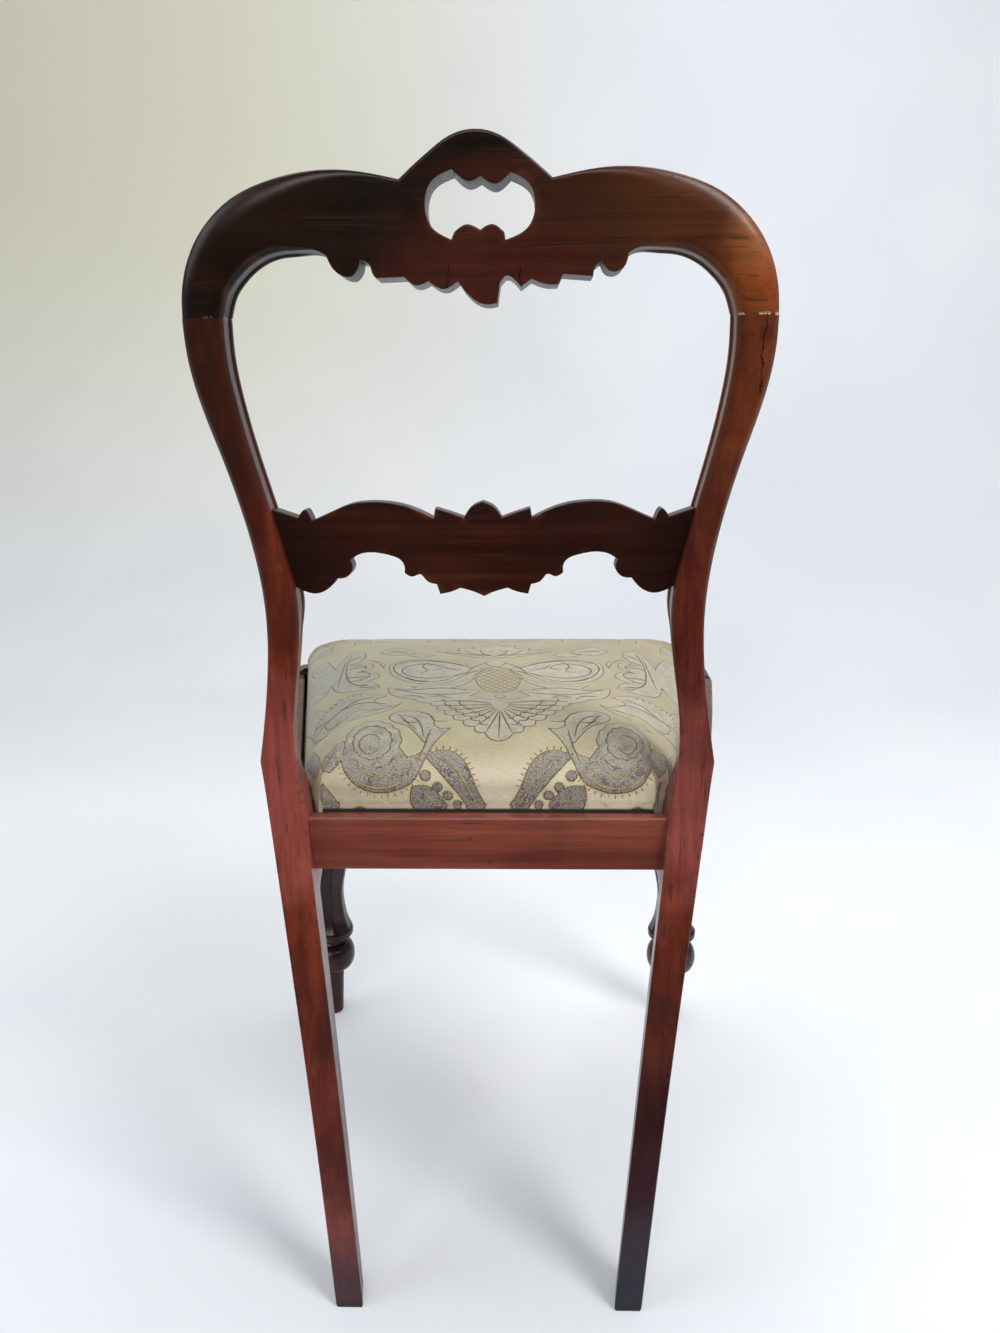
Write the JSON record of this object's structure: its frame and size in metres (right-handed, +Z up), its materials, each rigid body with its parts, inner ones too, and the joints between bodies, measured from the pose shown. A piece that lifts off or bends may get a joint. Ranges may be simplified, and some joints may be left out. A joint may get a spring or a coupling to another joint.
{
  "type": "balloon back chair",
  "caption": "Balloon back dining chair with a pierced crest, carved mid rail, swept rear legs, turned front legs and a lift-out upholstered seat.",
  "frame": {"origin": "on the floor, under the middle of the chair's outer box", "axes": "+Z up, the sitter faces -Y, +X is the sitter's left"},
  "size_m": [0.478, 0.499, 0.897],
  "materials": {
    "mahogany": "french polished, worn",
    "mahogany_dark": "french polished, dark",
    "beech": "bare",
    "steel": "dull",
    "webbing": "jute",
    "hessian": "coarse jute cloth",
    "stuffing": "wadding",
    "damask": "satin damask",
    "dust_cloth": "black cotton"
  },
  "bodies": {
    "chair": {"left_back_post": "mahogany", "right_back_post": "mahogany", "crest_rail": "mahogany_dark", "mid_rail": "mahogany_dark", "rear_seat_rail": "mahogany", "left_seat_rail": "mahogany", "right_seat_rail": "mahogany", "front_seat_rail": "mahogany", "left_front_leg": "mahogany", "right_front_leg": "mahogany", "rear_left_block": "beech", "front_left_block": "beech", "rear_right_block": "beech", "front_right_block": "beech", "block_screws": "steel", "crest_dowels": "beech"},
    "seat": {"seat_rear_bar": "beech", "seat_front_bar": "beech", "seat_left_bar": "beech", "seat_right_bar": "beech", "seat_dowels": "beech", "seat_webbing": "webbing", "base_cloth": "hessian", "seat_stuffing": "stuffing", "seat_cover": "damask", "dust_cloth": "dust_cloth", "dust_cloth_tacks": "steel"}
  },
  "joints": [
    {"name": "seat_lift", "type": "slide", "parent": "chair", "child": "seat", "axis": [0, 0, 1], "range_m": [0, 0.06]}
  ]
}
